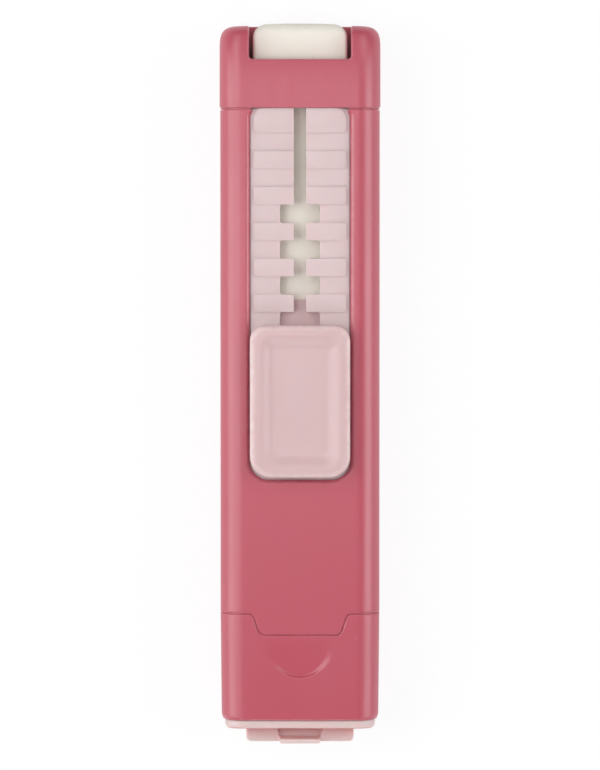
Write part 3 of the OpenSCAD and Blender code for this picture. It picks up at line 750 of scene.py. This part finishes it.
def cap_shell():
    """The tongue's outline, moved down by the gap, and rows from there to the rounded lower end.
    The outer skin draws in towards the end in proportion to the way down, the inner one not at
    all, and the edges between them in part. The scoop is half an ellipse below SCOOP_Y. It sinks
    the outer skin by a power of the way down it, and rises again at its edge by a smooth step,
    which is short at the lower end and wider towards the sides."""
    foot, side_y, side_deep, taper, half_w, height = 0.3, 0.9, 0.25, 0.0115 / 15, 6.2, 7.0
    scoop_deep, sink_power, short_wall, wide_wall = 0.5, 1.7, 0.035, 0.35
    top = TONGUE.copy()
    top[:2] += GAP * top[2:]
    top[2:] *= -1
    sine, cosine = (part[:, None] for part in quarter(8))
    sine_in, cosine_in = (part[:, None] for part in quarter(4))
    s, still = TONGUE[0], 0 * TONGUE[0]
    lip = seam_lip(s)
    lean = np.interp(s, TURNS, [0, 0, 1, 1, 0, 0])
    foot_y, foot_deep = foot + side_y * lean, foot + side_deep * lean
    outer = between(moved(top, lip), np.stack([s, CAP_Y + foot_y], -1), steps=150)
    inner = between(moved(top, LIP), np.stack([s, CAP_Y + LIP + still], -1), steps=6)
    foot_at = np.concatenate([CAP_Y + foot_y * (1 - sine),
                              CAP_Y + LIP * (1 - cosine_in) + still])
    foot_depth = np.concatenate([foot_deep * (1 - cosine), WALL - LIP * (1 - sine_in) + still])
    mask = np.concatenate([2 * sine * cosine + still, 0 * sine_in + still])
    grids = [rolled(outer[..., 0], outer[..., 1], 0.0), rolled(inner[..., 0], inner[..., 1], WALL),
             cut_edge(top, lip), rolled(s, foot_at, foot_depth, mask)]
    for grid, depth in zip(grids, (0.0, WALL, edge_profile(still, lip, 0.0)[1], foot_depth)):
        x, y, z = grid[..., 0], grid[..., 1], grid[..., 2]
        skin = 1 - depth / WALL
        drawn = taper * (SEAM_Y - y).clip(0) * skin
        along = ((SCOOP_Y - y) / height).clip(0, 1)
        ring = np.hypot(x / half_w, (y - SCOOP_Y) / height)
        fall = ((1 - ring) / (short_wall + wide_wall * (1 - along))).clip(0, 1)
        dip = scoop_deep * along ** sink_power * fall ** 2 * (3 - 2 * fall) * skin
        grid[..., 0] = x * (1 - drawn)
        grid[..., 2] = DEPTH / 2 + (z - DEPTH / 2) * (1 - drawn) - dip * (z > DEPTH / 2)
    return weld("cap_shell", grids, mirror=True)


seat(cap_shell(), "end_cap", "cap", ROSE)

# End plug
# The real plug is a pale plate, pressed into the cap's lower end, with a lug and a nail ledge to
# pull it by, moulded of a paler plastic that lets more light through. The CAD solid is copied, its
# moulded edges rounded and the floor of the lug's recess raised. The lug's colour carries a painted
# rose light and shade, strongest by the plate, standing for light that comes through the rose cap.
PLUG = moulded("plug_plastic", paint(230, 206, 204), paint(224, 199, 197), paint(238, 220, 218),
               rough=0.4, glow=0.6, tooth=0.000012)


def painted_rose_light(material, low, high, colour):
    """Paints rose light and shade into the material's colour: a colour mixed in from none at y =
    low in even steps to all of it at y = high, and none beyond high, standing for light through the
    rose cap."""
    past = 0.00005
    tree = material.node_tree
    shader = tree.nodes["Principled BSDF"]
    y = put(tree, "SeparateXYZ", {0: put(tree, "TexCoord").outputs["Object"]}).outputs["Y"]
    share = put(tree, "MapRange", {"Value": y, "From Min": low, "From Max": high})
    under = put(tree, "Math", {0: y, 1: high + past}, operation="LESS_THAN")
    share = put(tree, "Math", {0: share.outputs[0], 1: under.outputs[0]}, operation="MULTIPLY")
    plain = shader.inputs["Base Color"].links[0].from_socket
    tree.links.new(tint(tree, share.outputs[0], plain, colour), shader.inputs["Base Color"])
    return material


PLUG_R, LUG_END, LUG_ROOT = 0.25, -58.2 * MM, -56.2 * MM
plug = softened("end_plug", PLUG_R)

# The recess in the lug has its floor at RECESS_Z in the CAD solid, and at RAISED_Z here.
RECESS_HALF, RECESS_Z, RAISED_Z, NEAR = 3.9 * MM, 8 * MM, 11.2 * MM, 0.1 * MM
plug_points = mesh_points(plug)
recess = ((np.abs(plug_points[:, 0]) < RECESS_HALF) & (plug_points[:, 1] < LUG_ROOT)
          & (np.abs(plug_points[:, 2] - RECESS_Z) < NEAR))
plug_points[recess, 2] = RAISED_Z
plug.data.vertices.foreach_set("co", plug_points.ravel())
# The lug's colour gets a painted rose light and shade, growing towards the plate.
seat(plug, "end_plug", "cap",
     painted_rose_light(PLUG, LUG_END, LUG_ROOT, paint(222, 160, 160)))

# Studio
# The photograph was taken from nearly straight above on white, in broad soft light. Soft boxes
# stand all round, with one below for the back. The floor and the surroundings show pure white to
# the camera and keep the object's shadow.


def white_sweep():
    """A white floor. To the camera, and in part to reflections, most of its light is its own, so
    that it is white and only the object's shadow dulls it. It is clear from below, and lets the
    light of the lamp there through, so that the object's back shows."""
    reflected, own_light = 0.25, 0.88
    material = bpy.data.materials.new("white_sweep")
    material.use_nodes = True
    tree = material.node_tree
    shader = tree.nodes["Principled BSDF"]
    shader.inputs["Roughness"].default_value = 0.9
    place = put(tree, "TexCoord").outputs["Object"]
    paper = put(tree, "TexNoise", {"Vector": place, "Scale": 300.0, "Detail": 4.0})
    tone = tint(tree, paper.outputs[0], paint(246, 246, 247), paint(250, 250, 250))
    tree.links.new(tone, shader.inputs["Base Color"])
    ray = put(tree, "LightPath").outputs
    gloss = put(tree, "Math", {0: ray["Is Glossy Ray"], 1: reflected}, operation="MULTIPLY")
    seen = put(tree, "Math", {0: ray["Is Camera Ray"], 1: gloss.outputs[0]}, operation="MAXIMUM")
    seen = put(tree, "Math", {0: seen.outputs[0], 1: ray["Is Transmission Ray"]},
               operation="MAXIMUM")
    glow = put(tree, "Emission", {"Color": (1.0, 1.0, 1.0, 1.0), "Strength": 1.02})
    part = put(tree, "MixShader", {0: own_light, 1: shader.outputs[0], 2: glow.outputs[0]})
    shown = put(tree, "MixShader", {0: seen.outputs[0], 1: shader.outputs[0], 2: part.outputs[0]})
    clear = put(tree, "BsdfTransparent")
    back = put(tree, "NewGeometry").outputs["Backfacing"]
    passes = put(tree, "Math", {0: back, 1: ray["Is Shadow Ray"]}, operation="MAXIMUM")
    last = put(tree, "MixShader", {0: passes.outputs[0], 1: shown.outputs[0], 2: clear.outputs[0]})
    tree.links.new(last.outputs[0], tree.nodes["Material Output"].inputs["Surface"])
    return material


FAR, BELOW = 2.0, -2e-5
sweep_mesh = bpy.data.meshes.new("studio_floor")
sweep_mesh.from_pydata([(-FAR, -FAR, BELOW), (FAR, -FAR, BELOW), (FAR, FAR, BELOW),
                        (-FAR, FAR, BELOW)], [], [(0, 1, 2, 3)])
sweep = bpy.data.objects.new("studio_floor", sweep_mesh)
bpy.context.scene.collection.objects.link(sweep)
dress(sweep, white_sweep())

# The room's walls give a faint even light, and are white to the camera.
sky = bpy.data.worlds.new("studio_room")
sky.use_nodes = True
bpy.context.scene.world = sky
room = sky.node_tree
room_ray = put(room, "LightPath").outputs
room_seen = put(room, "Math", {0: room_ray["Is Camera Ray"], 1: room_ray["Is Transmission Ray"]},
                operation="MAXIMUM")
room_level = put(room, "MapRange", {"Value": room_seen.outputs[0], "To Min": 0.13, "To Max": 1.0})
room.nodes["Background"].inputs["Color"].default_value = (1.0, 1.0, 1.0, 1.0)
room.links.new(room_level.outputs[0], room.nodes["Background"].inputs["Strength"])


def soft_lamp(name, place, aim, width, height, watts):
    """A rectangular soft box at a place, whose face looks at the aim. Sizes are in metres."""
    light = bpy.data.lights.new(name, "AREA")
    light.shape, light.size, light.size_y, light.energy = "RECTANGLE", width, height, watts
    lamp = bpy.data.objects.new(name, light)
    lamp.location = place
    way = lamp.location - type(lamp.location)(aim)
    lamp.rotation_euler = way.to_track_quat("Z", "Y").to_euler()
    lamp.visible_camera = False
    bpy.context.scene.collection.objects.link(lamp)


soft_lamp("key_lamp", (-0.24, 0.02, 0.50), (0, 0.02, 0.01), 0.26, 0.20, 0.52)
soft_lamp("left_lamp", (-0.41, -0.02, 0.23), (0, 0, 0.01), 0.30, 0.36, 0.97)
soft_lamp("right_lamp", (0.41, -0.02, 0.24), (0, 0, 0.01), 0.28, 0.32, 0.86)
soft_lamp("nose_left_lamp", (-0.27, 0.31, 0.42), (0, 0, 0.01), 0.28, 0.30, 0.52)
soft_lamp("nose_right_lamp", (0.26, 0.31, 0.42), (0, 0, 0.01), 0.28, 0.30, 0.48)
soft_lamp("cap_lamp", (0.05, -0.50, 0.38), (0, 0, 0.01), 0.50, 0.30, 0.88)
soft_lamp("top_lamp", (0.0, 0.03, 0.37), (0, 0.03, 0.01), 0.12, 0.08, 0.10)
soft_lamp("back_lamp", (0.0, -0.05, -0.55), (0, 0, 0), 0.40, 0.40, 1.50)

# The camera stands 0.86 m above the stick, three degrees off the vertical towards the nose.
view = bpy.data.cameras.new("photo_view")
view.lens, view.sensor_width, view.clip_start = 242.27, 36.0, 0.01
eye = bpy.data.objects.new("photo_view", view)
eye.location = (0.0, 0.0441, 0.858)
eye.rotation_euler = (np.radians(-3.0), 0.0, 0.0)
bpy.context.scene.collection.objects.link(eye)
bpy.context.scene.camera = eye
bpy.context.scene.view_settings.view_transform = "Standard"
